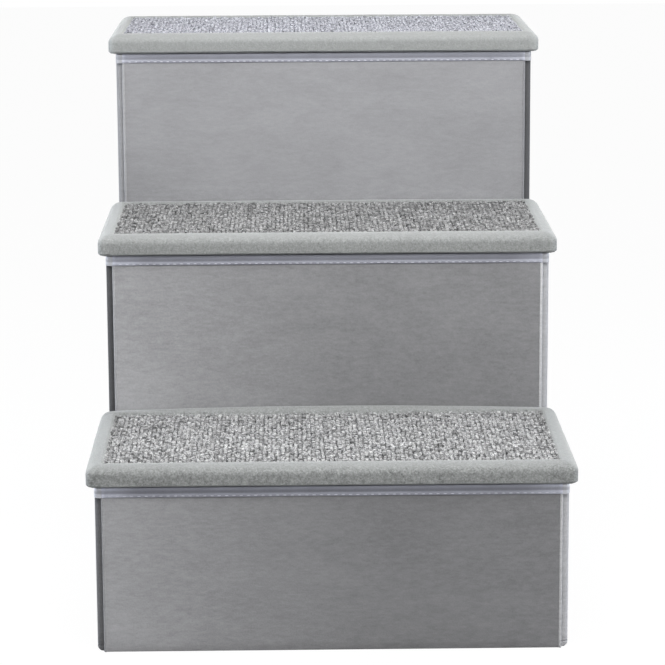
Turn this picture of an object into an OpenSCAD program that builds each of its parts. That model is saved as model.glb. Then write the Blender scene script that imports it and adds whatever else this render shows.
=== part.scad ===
// Folding pet stairs. Three fabric-covered board boxes stand in a row, one, two and three steps high.
// Each box carries a lift-off padded tread. Empty, it folds flat: both its sides crease inwards while
// the back comes up to the riser. Hook and loop strips hold the boxes together.
// +X is to the right seen from the front, +Y runs up the stairs, +Z is up.
// The origin is on the floor, in the middle of the footprint.

/* [Stairs] */
// Depth of one step, from a riser to the next
step_depth = 202; // [170:1:240]
// Rise from the floor to the lowest tread
first_rise = 160; // [130:0.5:200]
// Rise from each tread to the next
step_rise = 157.5; // [130:0.5:200]
// Width across a box's sides
box_w = 392; // [340:1:600]
// Gap between a box's back and the next riser
box_gap = 2.2; // [2:0.1:5]

/* [Box panels] */
// Thickness of the front, back and side panels
panel_t = 6; // [4:0.5:9]
// Thickness of the base board
base_t = 5; // [3:0.5:9]
// Running gap between pieces that move past each other
run_gap = 0.3; // [0.2:0.05:0.6]
// Distance of a hinge axis from the panel faces that close on each other
hinge_offset = 0.25; // [0.2:0.05:0.6]
// Distance that the sides' ends stand back from the riser's face
side_setback = 2.6; // [2.2:0.1:4]
// Radius of the soft corners at the sides' ends
side_round = 4.6; // [2:0.1:7]
// Radius of the riser's and the back's upright edges
panel_round = 2; // [0.5:0.1:3]
// Radius of the piping along those edges
piping_r = 1.2; // [0.8:0.1:1.5]

/* [Ribbon] */
// Height of the ribbon that binds a box's rim
ribbon_h = 8.5; // [6:0.5:20]
// Thickness of the ribbon
ribbon_t = 0.7; // [0.4:0.1:1.2]

/* [Treads] */
// Overhang of a tread past the box's sides
side_overhang = 7; // [4:0.5:12]
// Overhang of a tread past its riser
nose = 5; // [2:0.5:12]
// Gap between a tread's back edge and the next riser
tread_gap = 0.8; // [0.3:0.1:1.8]
// Thickness of a tread at its rim
tread_h = 19; // [16:0.5:30]
// Width of the fleece border round the carpet
border_w = 12; // [12:0.5:20]
// Width of the ledge that the carpet's edge is sewn to
ledge_w = 2; // [1:0.5:5]
// Radius of the rim's top roll
roll_top_r = 9; // [4:0.5:9]
// Radius of the rim's lower roll
roll_low_r = 4.5; // [2:0.5:7]
// Radius of the rim's shoulder beside the carpet
shoulder_r = 2.5; // [1:0.5:3]
// Depth of the carpet's top below the rim's crest
carpet_sink = 0.8; // [0:0.1:2]
// Thickness of the carpet
carpet_t = 5; // [3:0.5:7]
// Thickness of the stiff board in a tread
tread_board_t = 4.5; // [3:0.5:6]
// Thickness of the lining under a tread
lining_t = 1.2; // [0.8:0.1:2]

/* [Locating batten] */
// Depth that the batten reaches down into the box
batten_h = 12; // [6:1:25]
// Play between the batten and the riser's inner face
batten_play = 0.6; // [0.4:0.1:0.8]
// Distance kept between the batten's ends and the folded sides
batten_end_gap = 8; // [3:1:20]

/* [Hook and loop strips] */
// Width of a strip
strip_w = 25; // [15:1:50]
// Length of a strip
strip_len = 90; // [40:5:100]
// Thickness of a strip
strip_t = 0.75; // [0.4:0.05:0.85]
// Height of a strip's lower end above the floor
strip_z = 25; // [10:1:35]
// Distance of a strip's middle from the stairs' middle
strip_x = 120; // [40:5:140]

/* [Hidden] */
// Segments in a quarter round
arc_steps = 8;
// Overrun of a cut past the faces it opens
overrun = 1;
// Colours
velour = [0.56, 0.56, 0.58];
velour_side = [0.42, 0.42, 0.45];
ribbon_grey = [0.66, 0.66, 0.74];
fleece = [0.76, 0.78, 0.77];
pile = [0.62, 0.62, 0.62];
board_brown = [0.62, 0.52, 0.4];
foam_white = [0.92, 0.92, 0.88];
strip_black = [0.14, 0.14, 0.15];

// Box sizes that follow from the ones above
box_d = step_depth - box_gap;
side_in = box_w / 2 - panel_t;
riser_half = side_in - run_gap;
side_corner = min(side_round, panel_t - ribbon_t);
crease_y = box_d / 2;
stairs_d = nose + order("upper") * step_depth - tread_gap;
piping_inset = panel_round * (1 - sqrt(0.5));

// Hinge axes, measured from the riser's face: corner axes lie just inside the corner,
// and the crease's axis lies just outside the side
corner_axis_x = side_in - hinge_offset;
half_fold = crease_y - panel_t - hinge_offset;
folded_side_end = corner_axis_x - half_fold;

// Tread sizes
tread_w = box_w + 2 * side_overhang;
tread_d = nose + step_depth - tread_gap;
tread_corner_r = border_w + ledge_w;
core_w = tread_w - 2 * tread_corner_r;
core_d = tread_d - 2 * tread_corner_r;
seat_z = tread_h - carpet_sink - carpet_t;
batten_half = folded_side_end - batten_end_gap;

// A box's place in the row, counted up the stairs
function order(box) = box == "lower" ? 1 : box == "middle" ? 2 : 3;

// Height of a box's rim, where its tread sits
function rim_z(box) = first_rise + (order(box) - 1) * step_rise - tread_h;

// Place of a box's riser
function riser_y(box) = nose - stairs_d / 2 + (order(box) - 1) * step_depth;

// A quarter arc about a centre, or the centre alone where the corner is sharp
function quarter_arc(centre, r, start) = r <= 0 ? [centre] : [
    for (step = [0 : arc_steps])
        let (a = start + 90 * step / arc_steps)
        centre + r * [cos(a), sin(a)]
];

// A rectangle between two corners with rounded corners, their radii in order anticlockwise
// from the one nearest the origin, all of it drawn in by an inset
function outline(low, high, radii, inset = 0) =
    let (r = [for (one = radii) max(0, one - inset)])
    let (a = low + [inset, inset])
    let (b = high - [inset, inset])
    concat(
        quarter_arc([a.x + r[0], a.y + r[0]], r[0], 180),
        quarter_arc([b.x - r[1], a.y + r[1]], r[1], 270),
        quarter_arc([b.x - r[2], b.y - r[2]], r[2], 0),
        quarter_arc([a.x + r[3], b.y - r[3]], r[3], 90)
    );

// Footprint of each panel as its low corner, its high corner and its corner radii.
// The sides are given for the right side and mirrored for the left.
front_foot = [[-riser_half, 0], [riser_half, panel_t], [panel_round, panel_round, 0, 0]];
back_foot = [[-riser_half, box_d - panel_t], [riser_half, box_d], [0, 0, panel_round, panel_round]];
side_front_foot = [
    [side_in, side_setback],
    [box_w / 2, crease_y - run_gap / 2],
    [0, side_corner, 0, 0]
];
side_rear_foot = [
    [side_in, crease_y + run_gap / 2],
    [box_w / 2, box_d - side_setback],
    [0, 0, side_corner, 0]
];

module at_box(box) {
    translate([0, riser_y(box), 0])
        children();
}

module prism(foot, low_z, high_z, inset = 0) {
    translate([0, 0, low_z])
        linear_extrude(high_z - low_z)
        polygon(outline(foot[0], foot[1], foot[2], inset));
}

// A panel, let in at its top edge by the ribbon's thickness
module bound_panel(foot, low_z, top_z) {
    union() {
        prism(foot, low_z, top_z - ribbon_h);
        prism(foot, top_z - ribbon_h, top_z - ribbon_t, ribbon_t);
    }
}

// The ribbon folded over a panel's top edge, flush with the velour below it
module ribbon_cap(foot, top_z) {
    color(ribbon_grey)
        difference() {
            prism(foot, top_z - ribbon_h, top_z);
            prism(foot, top_z - ribbon_h - overrun, top_z - ribbon_t, ribbon_t);
        }
}

// Piping in the two upright edges at the face of a riser or a back
module piping(face_y, low_z, top_z) {
    for (side = [-1, 1])
        translate([side * (riser_half - piping_inset), face_y, low_z])
            cylinder(r = piping_r, h = top_z - low_z, $fn = 24);
}

module mirror_left(side) {
    mirror([side == "left" ? 1 : 0, 0, 0])
        children();
}

module front_panel(box) {
    color(velour)
        at_box(box)
        union() {
            bound_panel(front_foot, 0, rim_z(box));
            piping(piping_inset, 0, rim_z(box) - ribbon_h);
        }
}

module back_panel(box) {
    color(velour)
        at_box(box)
        union() {
            bound_panel(back_foot, base_t + run_gap, rim_z(box) - run_gap);
            piping(box_d - piping_inset, base_t + run_gap, rim_z(box) - run_gap - ribbon_h);
        }
}

module side_panel(box, side, foot) {
    color(velour_side)
        at_box(box)
        mirror_left(side)
        bound_panel(foot, base_t + run_gap, rim_z(box) - run_gap);
}

module front_ribbon(box) {
    at_box(box)
        ribbon_cap(front_foot, rim_z(box));
}

module back_ribbon(box) {
    at_box(box)
        ribbon_cap(back_foot, rim_z(box) - run_gap);
}

module side_ribbon(box, side, foot) {
    at_box(box)
        mirror_left(side)
        ribbon_cap(foot, rim_z(box) - run_gap);
}

// The base carries the sides and the back, and its ears reach past the riser's ends
module base_board(box) {
    base_foot = [
        [-box_w / 2, side_setback],
        [box_w / 2, box_d],
        [side_corner, side_corner, side_corner, side_corner]
    ];
    color(velour_side)
        at_box(box)
        difference() {
            prism(base_foot, 0, base_t);
            translate([-side_in, -overrun, -overrun])
                cube([2 * side_in, panel_t + overrun, base_t + 2 * overrun]);
        }
}

// Section of a tread's rim from the middle of its corner's turn outwards: the underside,
// the lower roll, the top roll, the shoulder beside the carpet and the ledge under the carpet
rim_section = concat(
    [[0, 0]],
    quarter_arc([tread_corner_r - roll_low_r, roll_low_r], roll_low_r, 270),
    quarter_arc([tread_corner_r - roll_top_r, tread_h - roll_top_r], roll_top_r, 0),
    quarter_arc([ledge_w + shoulder_r, tread_h - shoulder_r], shoulder_r, 90),
    [[ledge_w, seat_z], [0, seat_z]]
);

// Places its children in the middle of a tread's underside
module at_tread(box) {
    at_box(box)
        translate([0, tread_d / 2 - nose, rim_z(box)])
        children();
}

// A layer that fills the space inside the rim between two heights
module tread_layer(low_z, high_z) {
    translate([-core_w / 2, -core_d / 2, low_z])
        cube([core_w, core_d, high_z - low_z]);
}

// Fleece wrap: the rolled rim swept round the tread, and the lining that closes it below
module tread_cover(box) {
    color(fleece)
        at_tread(box)
        union() {
            for (side = [0 : 3]) {
                across = side % 2 == 0 ? core_w : core_d;
                along = side % 2 == 0 ? core_d : core_w;
                rotate([0, 0, 90 * side])
                    translate([across / 2, along / 2, 0]) {
                        rotate([90, 0, 0])
                            linear_extrude(along)
                            polygon(rim_section);
                        rotate_extrude(angle = 90, $fn = 48)
                            polygon(rim_section);
                    }
            }
            tread_layer(0, lining_t);
        }
}

module tread_board(box) {
    color(board_brown)
        at_tread(box)
        tread_layer(lining_t, lining_t + tread_board_t);
}

module tread_foam(box) {
    color(foam_white)
        at_tread(box)
        tread_layer(lining_t + tread_board_t, seat_z);
}

// Loop-pile carpet let into the rim
module tread_carpet(box) {
    half = [core_w / 2 + ledge_w, core_d / 2 + ledge_w];
    color(pile)
        at_tread(box)
        prism([-half, half, [ledge_w, ledge_w, ledge_w, ledge_w]], seat_z, seat_z + carpet_t);
}

// Batten that drops in behind the riser, between the places where the folded sides come to lie
module tread_batten(box) {
    color(board_brown)
        at_box(box)
        translate([-batten_half, panel_t + batten_play, rim_z(box) - batten_h])
        cube([2 * batten_half, 2 * panel_t, batten_h]);
}

module strip_pair(box, low_y, tint) {
    color(tint)
        at_box(box)
        for (side = [-1, 1])
            translate([side * strip_x - strip_w / 2, low_y, strip_z])
                cube([strip_w, strip_t, strip_len]);
}

module hook_strips(box) {
    strip_pair(box, box_d, strip_black);
}

module loop_strips(box) {
    strip_pair(box, -strip_t, velour_side);
}

front_panel("lower");  // lower_front_panel
back_panel("lower");  // lower_back_panel
base_board("lower");  // lower_base_board
side_panel("lower", "left", side_front_foot);  // lower_left_front_panel
side_panel("lower", "left", side_rear_foot);  // lower_left_rear_panel
side_panel("lower", "right", side_front_foot);  // lower_right_front_panel
side_panel("lower", "right", side_rear_foot);  // lower_right_rear_panel
front_ribbon("lower");  // lower_front_ribbon
back_ribbon("lower");  // lower_back_ribbon
side_ribbon("lower", "left", side_front_foot);  // lower_left_front_ribbon
side_ribbon("lower", "left", side_rear_foot);  // lower_left_rear_ribbon
side_ribbon("lower", "right", side_front_foot);  // lower_right_front_ribbon
side_ribbon("lower", "right", side_rear_foot);  // lower_right_rear_ribbon
tread_board("lower");  // lower_tread_board
tread_foam("lower");  // lower_tread_foam
tread_cover("lower");  // lower_tread_cover
tread_carpet("lower");  // lower_tread_carpet
tread_batten("lower");  // lower_tread_batten
hook_strips("lower");  // lower_hook_strips
front_panel("middle");  // middle_front_panel
back_panel("middle");  // middle_back_panel
base_board("middle");  // middle_base_board
side_panel("middle", "left", side_front_foot);  // middle_left_front_panel
side_panel("middle", "left", side_rear_foot);  // middle_left_rear_panel
side_panel("middle", "right", side_front_foot);  // middle_right_front_panel
side_panel("middle", "right", side_rear_foot);  // middle_right_rear_panel
front_ribbon("middle");  // middle_front_ribbon
back_ribbon("middle");  // middle_back_ribbon
side_ribbon("middle", "left", side_front_foot);  // middle_left_front_ribbon
side_ribbon("middle", "left", side_rear_foot);  // middle_left_rear_ribbon
side_ribbon("middle", "right", side_front_foot);  // middle_right_front_ribbon
side_ribbon("middle", "right", side_rear_foot);  // middle_right_rear_ribbon
tread_board("middle");  // middle_tread_board
tread_foam("middle");  // middle_tread_foam
tread_cover("middle");  // middle_tread_cover
tread_carpet("middle");  // middle_tread_carpet
tread_batten("middle");  // middle_tread_batten
loop_strips("middle");  // middle_loop_strips
hook_strips("middle");  // middle_hook_strips
front_panel("upper");  // upper_front_panel
back_panel("upper");  // upper_back_panel
base_board("upper");  // upper_base_board
side_panel("upper", "left", side_front_foot);  // upper_left_front_panel
side_panel("upper", "left", side_rear_foot);  // upper_left_rear_panel
side_panel("upper", "right", side_front_foot);  // upper_right_front_panel
side_panel("upper", "right", side_rear_foot);  // upper_right_rear_panel
front_ribbon("upper");  // upper_front_ribbon
back_ribbon("upper");  // upper_back_ribbon
side_ribbon("upper", "left", side_front_foot);  // upper_left_front_ribbon
side_ribbon("upper", "left", side_rear_foot);  // upper_left_rear_ribbon
side_ribbon("upper", "right", side_front_foot);  // upper_right_front_ribbon
side_ribbon("upper", "right", side_rear_foot);  // upper_right_rear_ribbon
tread_board("upper");  // upper_tread_board
tread_foam("upper");  // upper_tread_foam
tread_cover("upper");  // upper_tread_cover
tread_carpet("upper");  // upper_tread_carpet
tread_batten("upper");  // upper_tread_batten
loop_strips("upper");  // upper_loop_strips
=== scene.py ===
# Looks of the folding pet stairs: velour-covered boards with ribbon-bound rims, piping and cloth
# hinges, and padded fleece treads with loop-pile carpet. Lengths are in metres, in the CAD frame.

from contextlib import contextmanager
from math import copysign, cos, pi, radians, sin

import bmesh
import bpy
import numpy as np
from mathutils import Matrix, Vector, noise


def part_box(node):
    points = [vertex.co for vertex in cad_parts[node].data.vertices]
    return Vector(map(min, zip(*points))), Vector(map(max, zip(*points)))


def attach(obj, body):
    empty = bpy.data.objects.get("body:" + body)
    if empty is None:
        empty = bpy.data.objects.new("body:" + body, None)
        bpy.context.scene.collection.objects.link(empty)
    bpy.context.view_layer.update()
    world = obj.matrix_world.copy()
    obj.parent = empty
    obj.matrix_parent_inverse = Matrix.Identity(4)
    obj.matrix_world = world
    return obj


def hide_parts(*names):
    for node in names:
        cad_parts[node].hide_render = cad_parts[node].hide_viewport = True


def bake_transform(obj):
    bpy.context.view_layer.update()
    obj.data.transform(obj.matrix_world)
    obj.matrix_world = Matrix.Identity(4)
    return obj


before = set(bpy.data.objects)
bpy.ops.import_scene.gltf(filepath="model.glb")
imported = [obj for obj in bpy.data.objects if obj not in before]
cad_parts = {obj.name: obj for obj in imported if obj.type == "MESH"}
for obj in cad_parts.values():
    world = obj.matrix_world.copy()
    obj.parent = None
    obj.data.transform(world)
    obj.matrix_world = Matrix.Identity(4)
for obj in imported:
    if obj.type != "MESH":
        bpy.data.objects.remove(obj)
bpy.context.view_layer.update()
scene = bpy.context.scene

MM = 0.001

# Sizes that the pieces share with the CAD model
BOXES = ("lower", "middle", "upper")
RIBBON_H = 8.5 * MM
RIBBON_T = 0.7 * MM
SIDE_IN, SIDE_OUT = 190 * MM, 196 * MM
SIDE_ROUND = 4.6 * MM
PANEL_ROUND = 2 * MM
PIPING_R = 1.2 * MM
STEP_DEPTH = 202 * MM
STEP_RISE = 157.5 * MM
FIRST_RIM = 141 * MM
FIRST_RISER = 300.1 * MM
BORDER = 12 * MM
TREAD_CORNER = 14 * MM
STRIP_W = 25 * MM

# How the cloth lies over the boards
RIBBON_LINER = 0.12 * MM
LIP_H = 3.0 * MM
# The velour's swell, how far the ribbon, its lip and its ripples stand out, and how deep its
# thread lies. It is all flatter on the sides, because their halves fold together.
RELIEF = (1.0, 0.35 * MM, 0.35 * MM, 0.14 * MM, 0.08 * MM)
SIDE_RELIEF = (0.45, 0.10 * MM, 0.08 * MM, 0.03 * MM, 0.24 * MM)
STITCH_PITCH = 6 * MM
STITCH_H = 1.25 * MM  # over the ribbon's lower edge
LINER_SUNK = 0.21 * MM  # how deep the thread lies on the ribbon's inner side
TUCK = 0.6 * MM  # how far the velour runs up under the ribbon
RIBBON_WRAP = 2.8 * MM  # how far the sides' ribbon runs on past their front ends
RIBBON_WIDER = 0.16 * MM  # how far the front ribbon stands over its panel's ends
TAPE_T = 0.16 * MM


# Camera and studio

PHOTO_SIDE = 665
SENSOR = 36
FOCAL_PX = 2769.3
camera_at = Vector((-32.1, -2506.0, 722.3)) * MM
pitch, yaw, roll = radians(11.591), radians(0.856), radians(-0.300)

camera_data = bpy.data.cameras.new("camera")
camera_data.sensor_width = SENSOR
camera_data.lens = SENSOR * FOCAL_PX / PHOTO_SIDE
camera_data.clip_end = 20
camera = bpy.data.objects.new("camera", camera_data)
scene.collection.objects.link(camera)
ahead = Vector((sin(yaw) * cos(pitch), cos(yaw) * cos(pitch), -sin(pitch)))
level = Vector((cos(yaw), -sin(yaw), 0))
above = level.cross(ahead)
to_right = cos(roll) * level + sin(roll) * above
to_top = cos(roll) * above - sin(roll) * level
camera_axes = Matrix((to_right, to_top, -ahead)).transposed().to_4x4()
camera.matrix_world = Matrix.Translation(camera_at) @ camera_axes
scene.camera = camera
scene.view_settings.view_transform = "Standard"


# Materials

# Turns of the ribbon's ribs and of the rows of hooks, in radians for each metre
RIBS, HOOKS = 5200.0, 3900.0


class Socket:
    """A value inside a material. Python's operators on it add the Math nodes."""

    def __init__(self, tree, output):
        self.tree = tree
        self.output = output

    def math(self, operation, first, second=0.0):
        return self.tree.add("ShaderNodeMath", {"operation": operation}, {0: first, 1: second})

    def whole(self):
        return self.math("FLOOR", self)

    def __add__(self, other):
        return self.math("ADD", self, other)

    def __sub__(self, other):
        return self.math("SUBTRACT", self, other)

    def __rsub__(self, other):
        return self.math("SUBTRACT", other, self)

    def __mul__(self, other):
        return self.math("MULTIPLY", self, other)

    def __truediv__(self, other):
        return self.math("DIVIDE", self, other)

    def __mod__(self, other):
        return self.math("FLOORED_MODULO", self, other)

    __radd__ = __add__

    def sine(self):
        return self.math("SINE", self)

    def size(self):
        return self.math("ABSOLUTE", self)

    def at_most(self, other):
        return self.math("MINIMUM", self, other)

    def at_least(self, other):
        return self.math("MAXIMUM", self, other)

    def between(self, low, high):
        """0 below the low value, 1 above the high one, and a smooth turn between them."""
        return self.tree.add(
            "ShaderNodeMapRange",
            {"interpolation_type": "SMOOTHSTEP"},
            {"Value": self, "From Min": low, "From Max": high},
        )

    def part(self, name):
        """Another output of the same node."""
        return Socket(self.tree, self.output.node.outputs[name])


class Tree:
    """The nodes of a material or of the studio's light."""

    def __init__(self, owner):
        owner.use_nodes = True
        self.nodes = owner.node_tree.nodes
        self.links = owner.node_tree.links
        self.nodes.clear()

    def add(self, kind, settings=None, inputs=None, output=0):
        """Adds a node: its settings first, then the values or links of its sockets."""
        node = self.nodes.new(kind)
        for name, value in (settings or {}).items():
            setattr(node, name, value)
        for name, value in (inputs or {}).items():
            if isinstance(value, Socket):
                self.links.new(value.output, node.inputs[name])
            else:
                node.inputs[name].default_value = value
        return Socket(self, node.outputs[output]) if node.outputs else node


class Finish(Tree):
    """A material built from noise, weave and colour on Object coordinates."""

    def __init__(self, name):
        self.material = bpy.data.materials.new(name)
        super().__init__(self.material)
        self.place = self.add("ShaderNodeTexCoord", output="Object")
        apart = self.add("ShaderNodeSeparateXYZ", inputs={"Vector": self.place})
        self.x, self.y, self.z = apart, apart.part("Y"), apart.part("Z")

    def stretched(self, x, y, z):
        return self.add("ShaderNodeMapping", inputs={"Vector": self.place, "Scale": (x, y, z)})

    def noise(self, scale, detail=2.0, roughness=0.5, place=None, distortion=0.0):
        """Smooth noise around 0, from about -1 to 1."""
        level = self.add("ShaderNodeTexNoise", inputs={
            "Vector": place or self.place,
            "Scale": scale,
            "Detail": detail,
            "Roughness": roughness,
            "Distortion": distortion,
        })
        return (level - 0.5) * 2.0

    def cells(self, scale):
        """Distance from the middle of scattered cells."""
        return self.add("ShaderNodeTexVoronoi", inputs={"Vector": self.place, "Scale": scale})

    def facing(self, axis):
        """How squarely the surface faces along an axis, from -1 to 1."""
        normal = self.add("ShaderNodeNewGeometry", output="Normal")
        return self.add("ShaderNodeSeparateXYZ", inputs={"Vector": normal}, output=axis)

    def toned(self, colour, tone):
        return self.add("ShaderNodeVectorMath", {"operation": "SCALE"}, {0: colour, "Scale": tone})

    def mixed(self, share, first, second):
        inputs = {0: share, 6: (*first, 1), 7: (*second, 1)}
        return self.add("ShaderNodeMix", {"data_type": "RGBA"}, inputs, output=2)

    def relief(self, height, distance, strength):
        return self.add(
            "ShaderNodeBump", inputs={"Height": height, "Distance": distance, "Strength": strength}
        )

    def surface(self, colour, roughness, normal=None, **constants):
        """Closes the material. Constants are set on the shader's own sockets."""
        inputs = {"Base Color": colour, "Roughness": roughness}
        if normal is not None:
            inputs["Normal"] = normal
        inputs.update({name.replace("_", " "): value for name, value in constants.items()})
        shader = self.add("ShaderNodeBsdfPrincipled", inputs=inputs)
        self.add("ShaderNodeOutputMaterial", inputs={"Surface": shader})
        return self.material


def end_of_side(finish):
    """1 where a side's cloth turns round its front end, and 0 along the side. The place
    within a step is counted from 2 mm before the riser."""
    return 1.0 - ((finish.y + (FIRST_RISER + 0.002)) % STEP_DEPTH).between(0.0080, 0.0125)


def velour(name, colour, end_sheen_tone=1.0, painted_light_gradient=0.0):
    """Short-napped velour. The nap is brushed in soft patches, and it leans another way
    where it turns round a side's upright end, which its end tone paints darker or lighter:
    painted sheen and shade for how the nap catches the side lamps. The last argument gives
    how strongly painted light makes the risers lighter towards the left."""
    finish = Finish(name)
    patches = finish.noise(11, 3, 0.55, finish.stretched(0.8, 1, 1.3), 0.6)
    strokes = finish.noise(38, 4, 0.6, finish.stretched(0.5, 0.6, 1.5), 1.2)
    flecks = finish.noise(330, 3, 0.65, finish.stretched(0.45, 0.45, 1.3))
    grain = finish.noise(800, 2, 0.6)
    # The top box is smoother
    fine = 1.0 - finish.z.between(0.30, 0.34) * 0.45
    tone = 1.0 + patches * 0.13 + strokes * 0.12 + (flecks * 0.23 + grain * 0.155) * fine
    # Which box it is on is counted from y, and starts 3 mm before its riser
    step = ((finish.y + FIRST_RISER + 0.003) / STEP_DEPTH).whole()
    below_ribbon = step * STEP_RISE + (FIRST_RIM - RIBBON_H) - finish.z
    # Painted shade: it is darkened in the 7 mm just below the ribbon, under the tread's overhang
    tone = tone * (0.87 + below_ribbon.between(0.0, 0.007) * 0.13)
    # Painted light: the risers are painted lighter towards the left (most on the lower boxes), a little
    # towards the right end and lower down on each riser, and darker overall on the lower boxes, for how
    # the lamp light and the nap's sheen fell across them
    if painted_light_gradient:
        to_left = ((0.05 - finish.x) / 0.24).at_least(0.0)
        to_right = finish.x.at_least(0.0)
        low_down = 1.0 - finish.z.between(0.12, 0.44)
        tone = tone * (1.0 + (to_left + to_left * to_left) * low_down * (painted_light_gradient / 2))
        lower_down = below_ribbon.at_most(0.15) * 0.8
        tone = tone * (0.97 + lower_down + to_right * to_right * 2.2 - low_down * (painted_light_gradient / 6.5))
    # Painted sheen and shade where a side turns round its front end
    if end_sheen_tone != 1.0:
        tone = tone * (1.0 + end_of_side(finish) * (end_sheen_tone - 1.0))
    nap = grain * 0.4 + flecks * 0.4 + strokes * 0.2
    return finish.surface(
        finish.toned(colour, tone),
        0.86 + strokes * 0.05,
        finish.relief(nap, 0.0003, 0.35),
        Specular_IOR_Level=0.2,
        Sheen_Weight=0.25,
        Sheen_Roughness=0.45,
        Sheen_Tint=(0.85, 0.85, 0.9, 1),
    )


def fleece(name, colour):
    """Brushed fleece: short matted fibres, a little patchy."""
    finish = Finish(name)
    fibres = finish.noise(680, 4, 0.75)
    tufts = finish.noise(320, 3, 0.6, None, 0.8)
    patches = finish.noise(22, 2)
    forwards = (0.0 - finish.facing("Y")).between(0.3, 0.9)
    # It is coarsest on the lower treads and on their fronts
    speckle = (1.0 - finish.z.between(0.2, 0.42) * 0.68) * (0.6 + forwards * 0.8)
    tone = 1.0 + (fibres * 0.72 + tufts * 0.46) * speckle + patches * 0.05
    # Painted light: it is painted palest round the treads' left and right edges, where the side lamps
    # catch the roll, and lighter on the top tread's front, where the lamps reach it most
    tone = tone * (1.0 + finish.x.size().between(0.192, 0.2025) * 0.17)
    tone = tone * (1.0 + finish.z.between(0.33, 0.45) * forwards * 0.08)
    pile = fibres * 0.6 + tufts * 0.4
    return finish.surface(
        finish.toned(colour, tone),
        0.93 + fibres * 0.04,
        finish.relief(pile, 0.0006, 0.55),
        Specular_IOR_Level=0.15,
        Sheen_Weight=0.35,
        Sheen_Roughness=0.5,
        Sheen_Tint=(0.95, 0.96, 0.95, 1),
    )


def yarn(name, colour):
    """Carpet yarn: its tone, with painted shade at the loops' feet, is kept in each loop's attribute,
    with fine fibres over it.
    """
    finish = Finish(name)
    tone = finish.add("ShaderNodeAttribute", {"attribute_name": "yarn_tone_and_shade"}, output="Fac")
    plies = finish.noise(760, 2, 0.7).between(-0.3, 0.3) - 0.5
    fibres = finish.noise(1500, 3, 0.7)
    worn = finish.noise(14, 2)
    return finish.surface(
        finish.toned(colour, tone * (1.0 + plies * 1.05 + fibres * 0.4 + worn * 0.05)),
        0.92 + fibres * 0.05,
        finish.relief(fibres, 0.0003, 0.5),
        Specular_IOR_Level=0.2,
        Sheen_Weight=0.1,
    )


def ribbon(name, colour, end_highlight_tone=1.0, painted_end_highlights=False):
    """Satin-woven ribbon: fine ribs across its width. Its folded lower edge is painted paler as a
    highlight, and so is the end that turns round a side, by its end tone. With the end highlights
    on, its run is painted paler towards its ends."""
    finish = Finish(name)
    ribs = (finish.x * RIBS).sine() * (finish.y * RIBS).sine()
    crush = finish.noise(60, 3, 0.6, finish.stretched(1, 1, 0.4))
    threads = finish.noise(900, 2, 0.6)
    tone = 1.0 + crush * 0.16 + threads * 0.12
    # The height within a step is counted from the ribbon's lower edge, less 2 mm
    height = (finish.z - (FIRST_RIM - RIBBON_H - 0.002)) % STEP_RISE
    lip = height.between(0.0016, 0.0017) * (1.0 - height.between(0.002 + LIP_H, 0.0024 + LIP_H))
    low_down = 1.0 - finish.z.between(0.13, 0.44)
    # Painted highlight on the folded lip, and painted light over the ribbon's top 3 mm under the tread's
    # nose, more on the lower boxes
    tone = tone * (1.0 + lip * 0.42 + height.between(0.0064, 0.0096) * (0.45 + low_down * 0.5))
    # Painted highlight on the end that turns round a side, where its satin faces the side light, more on
    # the lower boxes
    if end_highlight_tone != 1.0:
        tone = tone * (1.0 + end_of_side(finish) * (end_highlight_tone - 1.0) * (0.15 + low_down * 0.85))
    # Painted highlight: the front ribbon is painted paler towards its ends and at its very ends, and a
    # little paler all along on the lower boxes
    if painted_end_highlights:
        aside = finish.x.size()
        tone = tone * (1.0 + low_down * 0.12 + aside.between(0.155, 0.188) * (0.2 + low_down * 0.55)
                       + aside.between(0.186, 0.1897) * 0.5)
    return finish.surface(
        finish.toned(colour, tone),
        0.6 + crush * 0.12,
        finish.relief(threads + ribs * 0.5, 0.0001, 0.4),
        Specular_IOR_Level=0.45,
        Sheen_Weight=0.1,
    )


def lining(name, colour):
    """Non-woven lining with its pressed dots."""
    finish = Finish(name)
    dots = finish.cells(420)
    fibres = finish.noise(300, 4, 0.7, finish.stretched(1, 0.5, 1))
    pressed = dots.between(0.25, 0.5)
    return finish.surface(
        finish.toned(colour, 0.86 + pressed * 0.14 + fibres * 0.12),
        0.8 + fibres * 0.08,
        finish.relief(pressed, 0.0002, 0.5),
        Specular_IOR_Level=0.3,
    )


def fibreboard(name, colour):
    """Raw pressed fibreboard with dark and light chips of fibre."""
    finish = Finish(name)
    chips = finish.noise(300, 5, 0.7, finish.stretched(1, 0.35, 1))
    cloud = finish.noise(30, 3)
    return finish.surface(
        finish.mixed(chips.between(-0.4, 0.5), tuple(0.72 * c for c in colour), colour),
        0.72 + cloud * 0.1,
        finish.relief(chips, 0.0003, 0.4),
    )


def tape(name, colour, hooked):
    """Woven tape with rows of hooks, or with matted loops."""
    finish = Finish(name)
    if hooked:
        rows = (finish.x * HOOKS).sine() * (finish.z * HOOKS).sine()
        pile = rows.between(-0.2, 0.6)
    else:
        pile = finish.noise(650, 4, 0.8, None, 1.5)
    weave = finish.noise(90, 2)
    return finish.surface(
        finish.toned(colour, 0.8 + pile * 0.35 + weave * 0.08),
        0.6 + pile * 0.2,
        finish.relief(pile, 0.0004, 0.6),
        Specular_IOR_Level=0.35,
    )


GREY = (0.248, 0.248, 0.255)
velour_cloth = velour("velour", GREY)
velour_riser = velour("velour_riser", GREY, painted_light_gradient=0.84)
# The top box's riser is a lighter copy: painted light for the stronger light high up the stairs
velour_riser_up = velour("velour_riser_up", (0.298, 0.298, 0.308))
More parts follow.
